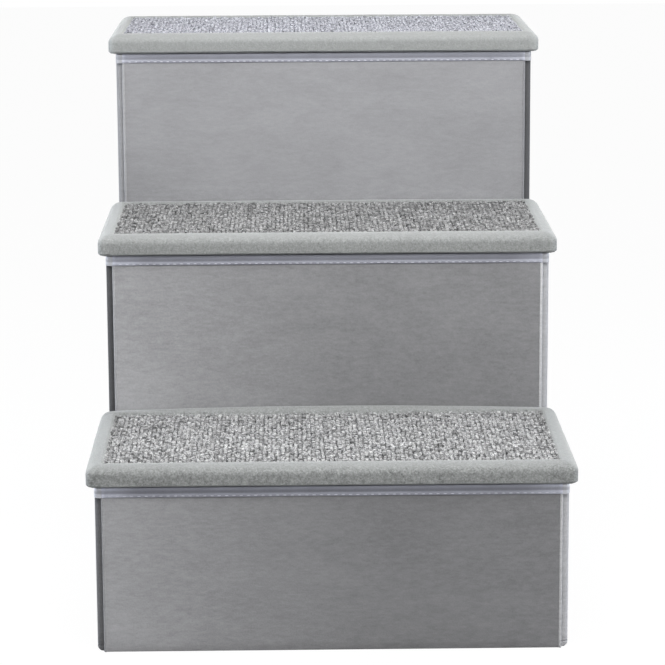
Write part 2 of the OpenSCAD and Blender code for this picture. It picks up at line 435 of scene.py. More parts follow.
# Painted sheen and shade: how much lighter or darker the nap is painted where a box's left and right
# sides turn round their front ends, for how it catches the side lamps
SIDE_END_SHEEN = {"lower": (0.62, 2.1), "middle": (0.29, 1.7), "upper": (1.06, 0.32)}
velour_sides = {
    p: [velour(f"velour_{p}_{side}", GREY, tone) for side, tone in zip(("left", "right"), tones)]
    for p, tones in SIDE_END_SHEEN.items()
}
# The three piping velours are copies in different greys: the first two carry painted highlight where the
# cords catch the light, the second more, and the third painted shade
piping_cloth = velour("piping_velour", (0.36, 0.36, 0.37))
piping_painted_highlight = velour("piping_painted_highlight", (0.57, 0.57, 0.58))
piping_painted_shade = velour("piping_painted_shade", (0.24, 0.24, 0.25))
fleece_cloth = fleece("fleece", (0.257, 0.265, 0.261))
# The front ribbon's grey is darker than the ends' ribbon, partly painted shade under the treads' noses
ribbon_cloth = ribbon("ribbon", (0.185, 0.190, 0.220), painted_end_highlights=True)
ribbon_ends = ribbon("ribbon_ends", (0.235, 0.238, 0.255), 1.95)
stitch_thread = ribbon("stitch_thread", (0.40, 0.40, 0.45))
yarn_mix = yarn("carpet_yarn", (1.0, 1.0, 1.0))
yarn_cool = yarn("carpet_yarn_cool", (0.985, 1.0, 1.10))
lining_cloth = lining("lining", (0.16, 0.16, 0.17))
tape_cloth = lining("corner_tape", (0.09, 0.09, 0.10))
board_wood = fibreboard("fibreboard", (0.36, 0.25, 0.15))
hook_cloth = tape("hook_tape", (0.05, 0.05, 0.055), True)
loop_cloth = tape("loop_tape", (0.12, 0.12, 0.13), False)


# Studio: a white floor that keeps a soft shadow, and six soft lamps

def seen_directly(tree):
    """1 where the camera or a gloss looks, and 0 where light is gathered."""
    path = tree.add("ShaderNodeLightPath", output="Is Camera Ray")
    return path.at_least(path.part("Is Glossy Ray")).at_least(path.part("Is Transmission Ray"))


bpy.ops.object.select_all(action="DESELECT")
bpy.ops.mesh.primitive_plane_add(size=12, location=(0, 0, 0))
floor = bpy.context.object
floor.name = "floor"
floor_material = bpy.data.materials.new("floor_white")
floor_tree = Tree(floor_material)
direct = seen_directly(floor_tree)
lit_floor = floor_tree.add("ShaderNodeBsdfDiffuse", inputs={"Color": direct * 0.55 + 0.4})
white = floor_tree.add("ShaderNodeEmission", inputs={"Color": (1, 1, 1, 1), "Strength": 1.0})
floor_mix = floor_tree.add("ShaderNodeMixShader", inputs={0: direct * 0.97, 1: lit_floor, 2: white})
floor_tree.add("ShaderNodeOutputMaterial", inputs={"Surface": floor_mix})
floor.data.materials.append(floor_material)

world = bpy.data.worlds.new("studio")
scene.world = world
sky_tree = Tree(world)
sky = sky_tree.add("ShaderNodeBackground", inputs={"Color": (1, 1, 1, 1), "Strength": 0.04})
backdrop = sky_tree.add("ShaderNodeBackground", inputs={"Color": (1, 1, 1, 1), "Strength": 1.0})
sky_mix = sky_tree.add(
    "ShaderNodeMixShader", inputs={0: seen_directly(sky_tree), 1: sky, 2: backdrop}
)
sky_tree.add("ShaderNodeOutputWorld", inputs={"Surface": sky_mix})


def lamp(name, place, aim, side, watts, colour=(1, 1, 1)):
    data = bpy.data.lights.new(name, "AREA")
    data.color = colour
    data.shape = "SQUARE"
    data.size = side
    data.energy = watts
    made = bpy.data.objects.new(name, data)
    scene.collection.objects.link(made)
    made.location = place
    made.rotation_euler = (Vector(aim) - Vector(place)).to_track_quat("-Z", "Y").to_euler()


lamp("above_front", (0, -0.6, 1.1), (0, 0, 0.35), 0.7, 12.3)
lamp("front", (0, -1.0, 0.95), (0, 0.1, 0.4), 0.7, 3.4)
lamp("above_back", (0, 0.35, 1.4), (0, 0.1, 0.3), 0.8, 8.0)
lamp("right_front", (1.4, -1.4, 0.6), (0, 0, 0.3), 0.8, 5.0)
lamp("left_side", (-1.4, 0.1, 0.45), (0, 0, 0.25), 0.6, 15.5, (0.87, 0.92, 1.0))
lamp("right_side", (1.4, 0.1, 0.45), (0, 0, 0.25), 0.6, 12.5, (0.87, 0.92, 1.0))


# Ways of working on a piece

def select(*pieces):
    """Selects these pieces alone and makes the first the active one."""
    bpy.ops.object.select_all(action="DESELECT")
    for piece in pieces:
        piece.select_set(True)
    bpy.context.view_layer.objects.active = pieces[0]


@contextmanager
def editing(piece):
    """Opens one piece in edit mode and closes it again."""
    select(piece)
    bpy.ops.object.mode_set(mode="EDIT")
    yield
    bpy.ops.object.mode_set(mode="OBJECT")


def choose(kind, wanted):
    """Selects the open piece's edges or faces that are wanted, and nothing else. Says
    whether there are any."""
    bpy.ops.mesh.select_mode(type=kind[:-1].upper())
    bpy.ops.mesh.select_all(action="DESELECT")
    mesh = bmesh.from_edit_mesh(bpy.context.edit_object.data)
    chosen = [item for item in getattr(mesh, kind) if wanted(item)]
    for item in chosen:
        item.select_set(True)
    bmesh.update_edit_mesh(bpy.context.edit_object.data)
    return bool(chosen)


def block(name, low, high):
    """A cube primitive at its size and place."""
    bpy.ops.object.select_all(action="DESELECT")
    low, high = Vector(low), Vector(high)
    bpy.ops.mesh.primitive_cube_add(size=1, location=(low + high) / 2, scale=high - low)
    return settled(name)


def settled(name):
    """Names the piece just made and puts its place and size into its mesh."""
    piece = bpy.context.active_object
    bpy.ops.object.transform_apply(location=True, rotation=True, scale=True)
    piece.name = piece.data.name = name
    return piece


def runs(edge, axis):
    """Whether an edge runs along an axis."""
    step = edge.verts[1].co - edge.verts[0].co
    return step.length > 1e-7 and abs(step[axis]) > 0.999 * step.length


def round_upright(place, radius, segments=5):
    """Rounds the upright edges that stand at a place."""
    if choose("edges", lambda e: runs(e, 2) and place(e.verts[0].co)):
        bpy.ops.mesh.bevel(offset=radius, segments=segments, profile=0.5, affect="EDGES")


def round_corners(middle, rounds):
    """Rounds upright edges. rounds lists each one's x and y side of a middle, and its radius."""
    for x_side, y_side, radius in rounds:
        round_upright(
            lambda co: (co.x - middle.x) * x_side > 0 and (co.y - middle.y) * y_side > 0, radius
        )


def soften(radius, segments=2, wanted=lambda edge: True):
    """Rounds the edges that are still sharp."""
    sharp = radians(50)
    if choose("edges", lambda e: e.calc_face_angle(0) > sharp and wanted(e)):
        bpy.ops.mesh.bevel(offset=radius, segments=segments, profile=0.5, affect="EDGES")


def cut_along(axis, spacing):
    """Cuts every long edge along an axis into pieces of about a given length."""
    mesh = bmesh.from_edit_mesh(bpy.context.edit_object.data)
    lengths = [e.calc_length() for e in mesh.edges if runs(e, axis)]
    longest = max(lengths)
    cuts = min(99, round(longest / spacing) - 1)
    if cuts > 0:
        choose("edges", lambda e: runs(e, axis) and e.calc_length() > 0.6 * longest)
        bpy.ops.mesh.subdivide(number_cuts=cuts, smoothness=0)


def slice_at(axis, value):
    """Cuts the open piece across at a value, and leaves it whole."""
    bpy.ops.mesh.select_all(action="SELECT")
    along = Vector([int(i == axis) for i in range(3)])
    bpy.ops.mesh.bisect(plane_co=along * value, plane_no=along)


def shape(piece, move):
    """Moves each point of a piece by what move(point, normal) gives."""
    points = [(vertex.co.copy(), vertex.normal.copy()) for vertex in piece.data.vertices]
    moved = [value for point, normal in points for value in point + move(point, normal)]
    piece.data.vertices.foreach_set("co", moved)
    piece.data.update()


def finish_with(piece, kind, **settings):
    """Adds a modifier and applies it."""
    select(piece)
    modifier = piece.modifiers.new(kind, kind)
    for name, value in settings.items():
        setattr(modifier, name, value)
    bpy.ops.object.modifier_apply(modifier=modifier.name)


def joined(name, pieces):
    """Joins pieces into the first of them."""
    select(*pieces)
    bpy.ops.object.join()
    pieces[0].name = pieces[0].data.name = name
    return pieces[0]


def copied(piece, name, by):
    """A copy with its own mesh, moved by a distance."""
    copy = piece.copy()
    copy.data = piece.data.copy()
    copy.name = copy.data.name = name
    scene.collection.objects.link(copy)
    copy.data.transform(Matrix.Translation(by))
    return copy


def smooth(piece, angle=radians(40)):
    select(piece)
    bpy.ops.object.shade_smooth_by_angle(angle=angle)


def coat(piece, *materials):
    piece.data.materials.clear()
    for material in materials:
        piece.data.materials.append(material)


def clothe(piece, body, slot, *materials, replaces=()):
    """Gives a finished piece its materials and its body, and hides the parts that it replaces. The slot
    is not used.
    """
    coat(piece, *materials)
    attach(piece, body)
    if replaces:
        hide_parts(*replaces)


def wave(point, length, seed):
    """Smooth noise from -1 to 1 whose waves are about as long as given."""
    return noise.noise(point / length + Vector((seed * 17.3, seed * 5.1, seed * 9.7)))


# Box pieces

def relief_of(out):
    """How the cloth lies on a panel whose face looks in a direction."""
    return SIDE_RELIEF if abs(out.x) > 0.5 else RELIEF


def velour_panel(name, low, high, rounds, out, seed):
    """A board under padded velour. rounds lists its soft upright edges, and out is the
    direction that its face looks in."""
    piece = block(name, low, high)
    middle = (low + high) / 2
    with editing(piece):
        round_corners(middle, rounds)
        soften(0.8 * MM)
        for axis in (0, 1, 2):
            if high[axis] - low[axis] > 20 * MM:
                cut_along(axis, 7 * MM)

    def lie(point, normal):
        # Only the outer face gives: it is padded, and tight where the ribbon and the ends hold it
        facing = max(0.0, normal.dot(out))
        below_ribbon = high.z - point.z
        pucker = max(0.0, 1 - below_ribbon / (22 * MM))
        swell = 0.22 * MM * wave(point, 75 * MM, seed) + 0.07 * MM * wave(point, 18 * MM, seed + 1)
        swell += 0.10 * MM * pucker * wave(Vector((point.x + point.y, 0, point.z / 4)), 9 * MM, seed + 2)
        return out * facing * swell * relief_of(out)[0]

    shape(piece, lie)
    smooth(piece)
    return piece


def ribbon_band(name, low, high, rounds, out, seed):
    """The ribbon folded over a rim, with the lip of its lower edge standing a little proud."""
    _, proud, lip, ripples, _ = relief_of(out)
    low = low - Vector([max(-c * proud, c * RIBBON_LINER) for c in out])
    high = high + Vector([max(c * proud, -c * RIBBON_LINER) for c in out])
    piece = block(name, low, high)
    middle = (low + high) / 2
    lip_top = low.z + LIP_H
    with editing(piece):
        round_corners(middle, rounds)
        soften(0.5 * MM, 2, lambda e: not runs(e, 2))
        for axis in (0, 1):
            if high[axis] - low[axis] > 20 * MM:
                cut_along(axis, 4 * MM)
        slice_at(2, lip_top)
        slice_at(2, lip_top - 0.45 * MM)
        slice_at(2, lip_top + 1.2 * MM)

    def lie(point, normal):
        along = Vector((point.x, point.y, 0))
        turn = Vector((normal.x, normal.y, 0))
        facing = max(0.0, turn.dot(out))
        move = Vector((0, 0, 0))
        if point.z < lip_top - 0.3 * MM:
            move += out * facing * lip
            move.z += 0.22 * MM * wave(along, 26 * MM, seed)
        move += out * facing * ripples * wave(point, 17 * MM, seed + 3)
        return move

    shape(piece, lie)
    smooth(piece, radians(50))
    return piece


def stitch_row(name, start, step, count, out, length=3.1 * MM):
    """A row of stitches: one is modelled and repeated."""
    along = step.normalized()
    long_axis = max(range(3), key=lambda axis: abs(along[axis]))
    radii = Vector((0.28, 0.28, 0.36)) * MM
    radii[long_axis] = length / 2
    bpy.ops.object.select_all(action="DESELECT")
    bpy.ops.mesh.primitive_uv_sphere_add(segments=6, ring_count=4, radius=1, location=(0, 0, 0))
    piece = bpy.context.active_object
    if long_axis < 2:
        piece.data.transform(Matrix.Rotation(pi / 2, 4, "YX"[long_axis]))
    piece.data.transform(Matrix.Diagonal((*radii, 1)))
    piece.data.transform(Matrix.Translation(start + out * 0.05 * MM))
    piece = settled(name)
    finish_with(
        piece, "ARRAY", count=count, use_relative_offset=False,
        use_constant_offset=True, constant_offset_displace=step,
    )
    smooth(piece, radians(80))
    return piece


def add_pipings(p, kind, name, body, seed, cloths):
    """Cords under cloth along the upright edges of a front or back panel."""
    low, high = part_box(f"{p}_{kind}_panel")
    y = low.y + PIPING_R if kind == "front" else high.y - PIPING_R
    top = high.z - RIBBON_H + RIBBON_T

    def lie(point, normal):
        return Vector((normal.x, normal.y, 0)) * 0.09 * MM * wave(point, 7 * MM, seed)

    for side, x, cloth in zip(("left", "right"), (low.x + PIPING_R, high.x - PIPING_R), cloths):
        bpy.ops.object.select_all(action="DESELECT")
        bpy.ops.mesh.primitive_cylinder_add(
            vertices=12, radius=PIPING_R, depth=top - low.z, location=(x, y, (low.z + top) / 2)
        )
        piece = settled(f"{p}_{name}_{side}_piping")
        with editing(piece):
            soften(0.4 * MM)
            cut_along(2, 5 * MM)
        shape(piece, lie)
        smooth(piece)
        clothe(piece, body, "velour", cloth)


def add_panel(p, kind, body, out, rounds, seed, finish, slot):
    """A velour panel with its ribbon and the ribbon's stitches."""
    node = f"{p}_{kind}_panel"
    band = f"{p}_{kind}_ribbon"
    ribbon_low, ribbon_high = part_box(band)
    low = Vector((ribbon_low.x, ribbon_low.y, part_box(node)[0].z))
    high = Vector((ribbon_high.x, ribbon_high.y, ribbon_low.z + TUCK))
    panel = velour_panel(f"{p}_{kind}_velour", low, high, rounds, out, seed)
    clothe(panel, body, slot, finish, lining_cloth, replaces=[node])
    for face in panel.data.polygons:
        face.material_index = int(face.normal.dot(out) < -0.9)
    band_low = ribbon_low.copy()
    if kind in ("left_front", "right_front"):
        band_low.y -= RIBBON_WRAP
    band_high = ribbon_high.copy()
    if kind == "front":
        rounds = [(x_side, y_side, 0.25 * MM) for x_side, y_side, _ in rounds]
        band_low.x -= RIBBON_WIDER
        band_high.x += RIBBON_WIDER
    top = ribbon_band(f"{p}_{kind}_ribbon_band", band_low, band_high, rounds, out, seed)
    clothe(top, body, "ribbon", ribbon_cloth if kind == "front" else ribbon_ends, replaces=[band])
    long_axis = 0 if abs(out.y) > 0.5 else 1
    soft_end = max(radius for _, _, radius in rounds) + 2 * MM
    length = ribbon_high[long_axis] - ribbon_low[long_axis] - 2 * soft_end
    # One stitch fewer on the rear halves, so that they fold between the front halves' stitches
    count = int(length / STITCH_PITCH) - kind.endswith("rear")
    step = Vector((0, 0, 0))
    step[long_axis] = STITCH_PITCH
    rows = []
    _, proud, lip, _, sunk = relief_of(out)
    for face, surface in ((1, proud + lip - sunk), (-1, RIBBON_LINER - LINER_SUNK)):
        start = (ribbon_low + ribbon_high) / 2
        start[long_axis] -= STITCH_PITCH * (count - 1) / 2
        start.z = ribbon_low.z + STITCH_H
        reach = abs((ribbon_high - ribbon_low).dot(out)) / 2
        start += out * face * (reach + surface)
        rows.append(stitch_row("row", start, step, count, out * face))
    clothe(joined(f"{p}_{kind}_stitches", rows), body, "ribbon", stitch_thread)


def add_base(p, seed, left_end, right_end):
    """The base board in its velour, rounded where it turns under at the sides."""
    low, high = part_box(f"{p}_base_board")
    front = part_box(f"{p}_front_panel")[1]
    pieces = []
    main = block(f"{p}_base_velour", (low.x, front.y + 0.2 * MM, low.z), high)
    with editing(main):
        round_upright(lambda co: co.y > front.y + 20 * MM, SIDE_ROUND)
        soften(3.6 * MM, 4, lambda e: abs(e.verts[0].co.x + e.verts[1].co.x) > 2 * SIDE_IN
               and max(v.co.z for v in e.verts) < low.z + 0.1 * MM)
        soften(0.6 * MM)
        cut_along(0, 9 * MM)
        cut_along(1, 9 * MM)
    for sign in (-1, 1):
        inner, outer = sorted((sign * (SIDE_IN + 0.1 * MM), sign * high.x))
        ear = block("ear", (inner, low.y, low.z), (outer, front.y + 2 * MM, high.z))
        with editing(ear):
            round_upright(lambda co: co.y < front.y and co.x * sign > SIDE_IN + 3 * MM, SIDE_ROUND)
            soften(3.4 * MM, 4, lambda e: abs(e.verts[0].co.x + e.verts[1].co.x) > 2 * (SIDE_IN + MM)
                   and max(v.co.z for v in e.verts) < low.z + 0.1 * MM)
        pieces.append(ear)
    whole = joined(f"{p}_base_velour", [main, *pieces])

    def lie(point, normal):
        return Vector((0, 0, 0.12 * MM * max(0, normal.z) * wave(point, 40 * MM, seed)))

    shape(whole, lie)
    smooth(whole)
    clothe(
        whole, f"{p}_box", "base_cloth", velour_cloth, lining_cloth, left_end, right_end,
        replaces=[f"{p}_base_board"],
    )
    for face in whole.data.polygons:
        inside = abs(face.center.x) < SIDE_IN
        if abs(face.normal.z) > 0.9 and (inside or face.normal.z < 0):
            face.material_index = 1
        elif not inside:
            face.material_index = 2 if face.center.x < 0 else 3


def crease_tape(p, side, seed):
    """Velour over the crease between a side's two halves."""
    sign = -1 if side == "left" else 1
    front_low, front_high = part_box(f"{p}_{side}_front_panel")
    crease = (front_high.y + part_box(f"{p}_{side}_rear_panel")[0].y) / 2
    face = sign * SIDE_OUT
    inner, outer = sorted((face - sign * 0.05 * MM, face + sign * TAPE_T))
    reach = 4 * MM
    piece = block(
        f"{p}_{side}_crease_cloth",
        (inner, crease - reach, front_low.z), (outer, crease + reach, front_high.z - RIBBON_H),
    )
    with editing(piece):
        cut_along(1, 0.4 * MM)
        cut_along(2, 8 * MM)
    smooth(piece)
    coat(piece, velour_cloth)
    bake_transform(piece)


def corner_tape(p, side, where):
    """Cloth tape glued into an upright corner. At the right rear corner no joint joins the two
    panels, so there each panel keeps its own half of the tape."""
    inwards = 1 if side == "left" else -1
    front = where == "front"
    turn = 1 if front else -1
    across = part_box(f"{p}_front_panel")[1].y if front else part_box(f"{p}_back_panel")[0].y
    panel_low, panel_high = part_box(f"{p}_{side}_{where}_panel")
    face = panel_high.x if side == "left" else panel_low.x
    low_z, high_z = panel_low.z + 3 * MM, panel_high.z - 13 * MM
    name = f"{p}_{side}_{where}_corner_tape"
    corner = Vector((face, across, low_z))
    thin, wide = Vector((inwards * TAPE_T, turn * TAPE_T, 0)), Vector((inwards, turn, 0)) * 12 * MM

    def leg(name, reach):
        low, high = zip(*map(sorted, zip(corner, corner + Vector(reach))))
        piece = block(name, low, (*high[:2], high_z))
        with editing(piece):
            cut_along(2, 10 * MM)
        return piece

    legs = [leg(f"{name}_wall", (wide.x, thin.y, 0)), leg(f"{name}_side", (thin.x, wide.y, 0))]
    if side == "right" and not front:
        clothe(legs[0], f"{p}_back", "ribbon", tape_cloth)
        clothe(legs[1], f"{p}_right_rear", "ribbon", tape_cloth)
        return
    piece = joined(name, legs)
    coat(piece, tape_cloth)
    middle = corner + Vector((0, 0, (high_z - low_z) / 2))
    ends = (middle + Vector((inwards * MM, 0, 0)), middle + Vector((0, turn * MM, 0)))
    if front:
        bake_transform(piece)
    else:
        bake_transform(piece)


def fastening_strips(p, kind, body, slot, material, out):
    """The two hook or loop strips on a wall, sewn on round their edges."""
    low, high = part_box(f"{p}_{kind}_strips")
    strips, stitches = [], []
    for x in (low.x, high.x - STRIP_W):
        strip = block("strip", (x, low.y, low.z), (x + STRIP_W, high.y, high.z))
        with editing(strip):
            choose("edges", lambda e: runs(e, 1))
            bpy.ops.mesh.bevel(offset=2.5 * MM, segments=4, profile=0.5, affect="EDGES")
            soften(0.18 * MM)
            cut_along(2, 8 * MM)
        strips.append(strip)
        face = low.y if out.y < 0 else high.y
        edge, pitch = 2 * MM, 3 * MM
        along = (int((STRIP_W - 2 * edge) / pitch), int((high.z - low.z - 2 * edge) / pitch))
        for at in (low.z + edge, high.z - edge):
            start = Vector((x + (STRIP_W - (along[0] - 1) * pitch) / 2, face, at))
            stitches.append(stitch_row("row", start, Vector((pitch, 0, 0)), along[0], out, 2 * MM))
        for at in (x + edge, x + STRIP_W - edge):
            start = Vector((at, face, (low.z + high.z - (along[1] - 1) * pitch) / 2))
            stitches.append(stitch_row("row", start, Vector((0, 0, pitch)), along[1], out, 2 * MM))
    pair = joined(f"{p}_{kind}_tapes", strips)
    smooth(pair)
    clothe(pair, body, slot, material, replaces=[f"{p}_{kind}_strips"])
    clothe(joined(f"{p}_{kind}_seams", stitches), body, slot, lining_cloth)


# Treads

LOOP_SIDES = 4


def tread_start(name, low, high):
    """The cushion before it is blown up: a little smaller, with the carpet's seat pressed in."""
    small = 1.4 * MM
    low = low + Vector((small, small, 0.3 * MM))
    high = high - Vector((small, small, small * 0.6))
    piece = block(name, low, high)
    top_round, low_round = 4.0 * MM, 1.4 * MM
    seat_in = BORDER - small + 1.5 * MM
    with editing(piece):
        round_upright(lambda co: True, TREAD_CORNER - small, 8)
        soften(top_round, 5, lambda e: min(v.co.z for v in e.verts) > high.z - 0.1 * MM)
        soften(low_round, 3, lambda e: max(v.co.z for v in e.verts) < low.z + 0.1 * MM)
        choose("faces", lambda f: f.normal.z > 0.99 and f.calc_area() > 0.01)
        bpy.ops.mesh.inset(thickness=seat_in - top_round, depth=0)
        bpy.ops.mesh.inset(thickness=1.2 * MM, depth=-3.6 * MM)
    return piece


def puffed(piece, pressure, cap, held):
    """Blows the cloth up with a simulation, and stops each point at a cap."""
    mesh = piece.data
    before = np.empty(len(mesh.vertices) * 3)
    mesh.vertices.foreach_get("co", before)
    before = before.reshape(-1, 3)
    group = piece.vertex_groups.new(name="held")
    group.add([v.index for v in mesh.vertices if held(v.co)], 1.0, "REPLACE")
    select(piece)
    cloth = piece.modifiers.new("Cloth", "CLOTH")
    cloth.settings.quality = 5
    cloth.settings.mass = 0.3
    cloth.settings.tension_stiffness = 15
    cloth.settings.compression_stiffness = 15
    cloth.settings.bending_stiffness = 0.5
    cloth.settings.use_pressure = True
    cloth.settings.uniform_pressure_force = pressure
    cloth.settings.effector_weights.gravity = 0
    cloth.settings.vertex_group_mass = group.name
    cloth.point_cache.frame_start = 1
    cloth.point_cache.frame_end = 20
    for step in range(cloth.point_cache.frame_start, cloth.point_cache.frame_end + 1):
        scene.frame_set(step)
    bpy.ops.object.modifier_apply(modifier=cloth.name)
    scene.frame_set(1)
    after = np.empty(len(mesh.vertices) * 3)
    piece.data.vertices.foreach_get("co", after)
    move = after.reshape(-1, 3) - before
    length = np.linalg.norm(move, axis=1, keepdims=True)
    move *= np.minimum(1, cap / np.maximum(length, 1e-9))
    piece.data.vertices.foreach_set("co", (before + move).ravel())
    piece.data.update()
    piece.vertex_groups.clear()


def tread_cushion(low, high):
    """The fleece cushion of the lowest tread. The others are copies of it."""
    piece = tread_start("tread_cushion", low, high)
    finish_with(piece, "REMESH", mode="VOXEL", voxel_size=3.1 * MM)
    middle = (low + high) / 2
    half = (high - low) / 2

    def held(point):
        from_rim = min(half.x - abs(point.x - middle.x), half.y - abs(point.y - middle.y))
        return from_rim > 11 * MM and point.z < high.z - 2.2 * MM

    puffed(piece, 4, 1.9 * MM, held)
    finish_with(piece, "SUBSURF", levels=1, render_levels=1)
    return piece


def stuffed(u, w, height):
    """How far the cover moves, at u in from the rim and w above its foot, to the section of a
    stuffed rim: a slanting curve up to the carpet, a flat front, and a small foot."""
    wide, tall, foot, share, power = 13 * MM, 7.8 * MM, 1.5 * MM, 0.96, 1.8
    level = height - tall
    if w > level and u < wide:
        off = Vector(((u - wide) / wide, (w - level) / tall))
        reach = (abs(off.x) ** power + off.y ** power) ** (1 / power)
        wanted = off * (1 / max(reach, 0.05) - 1)
        return wanted.x * wide * share, wanted.y * tall * share
    if w > height - 5 * MM:
        return 0.0, (height - w) * share * min(1.0, max(0.0, 1 - (u - wide) / MM))
    if w < foot and u < foot:
        off = Vector((u - foot, w - foot))
        wanted = off.normalized() * foot - off
        return wanted.x * share, wanted.y * share
    if w < foot:
        return 0.0, -w * share * max(0.0, 1 - (u - foot) / (4 * MM))
    return -u * share * min(1.0, max(0.0, 2 - u / (3 * MM))), 0.0


def settle_tread(piece, low, high, seed, pressed_up):
    """Lays a cushion flat on its box and gives it its own slight unevenness. The next riser
    presses the roll at its back up, most in the middle."""
    middle = (low + high) / 2
    half = (high - low) / 2
    floor_z = low.z + 0.3 * MM

    def lie(point, normal):
        off = point - middle
        side = Vector((abs(off.x) - (half.x - TREAD_CORNER), abs(off.y) - (half.y - TREAD_CORNER)))
        way_x, way_y = copysign(1, off.x), copysign(1, off.y)
        squared = Vector((0, 0, 0))
        if side.x > 0 and side.y > 0:
            u = TREAD_CORNER - side.length
            out = Vector((side.x * way_x, side.y * way_y, 0)).normalized()
            # The stuffing fills the corners out in plan
            squared = out * (side.length ** 2 / (side.x ** 5 + side.y ** 5) ** 0.2 - side.length)
        elif side.x > side.y:
            u = TREAD_CORNER - side.x
            out = Vector((way_x, 0, 0))
        else:
            u = TREAD_CORNER - side.y
            out = Vector((0, way_y, 0))
        inwards, upwards = stuffed(u, point.z - floor_z, high.z - floor_z)
        move = Vector((0, 0, upwards)) - out * inwards + squared
        uneven = 0.16 * MM * wave(point, 34 * MM, seed) + 0.09 * MM * wave(point, 9 * MM, seed + 1)
        corner = max(0.0, 1 - Vector((half.x - abs(off.x), half.y - abs(off.y))).length / (24 * MM))
        uneven += 0.12 * MM * corner * wave(Vector((point.x, point.y, point.z / 3)), 6 * MM, seed + 2)
        if u < 11 * MM:
            move += normal * uneven
        at_back = max(0.0, 1 - (high.y - point.y) / (15 * MM))
        above = max(0.0, off.z / half.z)
        arch = 1 - 0.75 * (off.x / half.x) ** 2
        move.z += pressed_up * arch * above * sin(min(1.0, at_back * 1.4) * pi / 2) ** 2
        moved = point + move
        if moved.z < floor_z:
            move.z += floor_z - moved.z
        if moved.y > high.y + 0.1 * MM:
            move.y += high.y + 0.1 * MM - moved.y
        return move

    shape(piece, lie)


def one_loop():
    """One loop of yarn: a little arch with four flat sides and closed feet."""
    rings, sides = 6, LOOP_SIDES
    half_span, foot, rise = 1.42 * MM, 0.4 * MM, 2.95 * MM
    half_wide, half_thick = 1.85 * MM, 1.25 * MM
    aside = Vector((1, 0, 0))
    points, faces = [], []
    for i in range(rings):
        turn = pi * i / (rings - 1)
        centre = Vector((0, -half_span * cos(turn), foot + rise * sin(turn) ** 0.8))
        across = Vector((0, sin(turn), 1.6 * cos(turn))).normalized().cross(aside)
        for j in range(sides):
            a = pi / 4 + 2 * pi * j / sides
            points.append(centre + cos(a) * half_wide * aside + sin(a) * half_thick * across)
    for i in range(rings - 1):
        for j in range(sides):
            k = (j + 1) % sides
            faces.append((i * sides + j, i * sides + k, (i + 1) * sides + k, (i + 1) * sides + j))
    faces.append(tuple(reversed(range(sides))))
    faces.append(tuple(range((rings - 1) * sides, rings * sides)))
    mesh = bpy.data.meshes.new("yarn_loop")
    mesh.from_pydata([tuple(p) for p in points], [], faces)
    piece = bpy.data.objects.new("yarn_loop", mesh)
    scene.collection.objects.link(piece)
    return piece


def loop_carpet(name, low, high, tones, seed):
    """Loop pile: one loop repeated in columns up the tread, each then leant and toned a
    little apart. tones lists (grey, share) of its plies."""
    pitch_x, pitch_y = 3.7 * MM, 4.2 * MM
    inset = 1.6 * MM
    columns = int((high.x - low.x - 2 * inset) / pitch_x) + 1
    rows = int((high.y - low.y - 2 * inset) / pitch_y) + 1
    piece = one_loop()
    piece.name = piece.data.name = name
    each = len(piece.data.vertices)
    piece.data.transform(Matrix.Translation((
        (low.x + high.x) / 2 - pitch_x * (columns - 1) / 2,
        (low.y + high.y) / 2 - pitch_y * (rows - 1) / 2,
        low.z + 0.2 * MM,
    )))
    for count, step in ((columns, (pitch_x, 0, 0)), (rows, (0, pitch_y, 0))):
        finish_with(
            piece, "ARRAY", count=count, use_relative_offset=False,
            use_constant_offset=True, constant_offset_displace=step,
        )
    draw = np.random.default_rng(seed)
    co = np.empty(len(piece.data.vertices) * 3)
    piece.data.vertices.foreach_get("co", co)
    co = co.reshape(-1, each, 3)
    loops = len(co)
    foot = co.mean(axis=1, keepdims=True)
    foot[:, :, 2] = low.z
    right, back, up = np.moveaxis(co - foot, 2, 0)
    turn = draw.normal(0, 0.5, loops)[:, None]
    x = right * np.cos(turn) - back * np.sin(turn)
    y = right * np.sin(turn) + back * np.cos(turn)
    z = up * draw.normal(1.0, 0.10, loops)[:, None].clip(0.75, 1.16)
    share = up / up.max()
    x = x * draw.normal(1.0, 0.08, loops)[:, None] + share * draw.normal(0, 0.5 * MM, loops)[:, None]
    y = y + share * draw.normal(0, 0.45 * MM, loops)[:, None]
    column = np.arange(loops) % columns
    stagger = np.where(column % 2 == 0, 0.25, -0.25)[:, None] * pitch_y
    moved = np.stack((x, y + stagger, z), axis=2) + foot
    for axis in (0, 1):
        moved[:, :, axis] = moved[:, :, axis].clip(low[axis] - 0.3 * MM, high[axis] + 0.3 * MM)
    piece.data.vertices.foreach_set("co", moved.ravel())
    # Two plies of different greys twist along each loop, one of them uppermost
    grey, share_of = np.array(tones).T
    base = draw.choice(len(tones), loops, p=share_of)
    other = draw.choice(len(tones), loops, p=share_of)
    ring = np.arange(each) // LOOP_SIDES
    side = np.arange(each) % LOOP_SIDES
    phase = draw.uniform(0, 2 * pi, loops)[:, None]
    ply = 0.5 + 0.5 * np.sin(2.1 * ring[None, :] + side[None, :] * pi / 2 + phase)
    ply = np.clip(1.6 * ply - 0.3, 0, 1)
    tone = grey[base][:, None] * (1 - ply) + grey[other][:, None] * ply
    tone *= draw.normal(1, 0.05, (loops, 1))
    # Painted shade: the feet, which lie deep between their neighbours, are painted darker
    tone *= 0.7 + 0.3 * np.clip(share * 1.5, 0, 1)
    attribute = piece.data.attributes.new("yarn_tone_and_shade", "FLOAT", "POINT")
    attribute.data.foreach_set("value", tone.ravel().astype(np.float32))
    piece.data.update()
    smooth(piece, radians(75))
    return piece


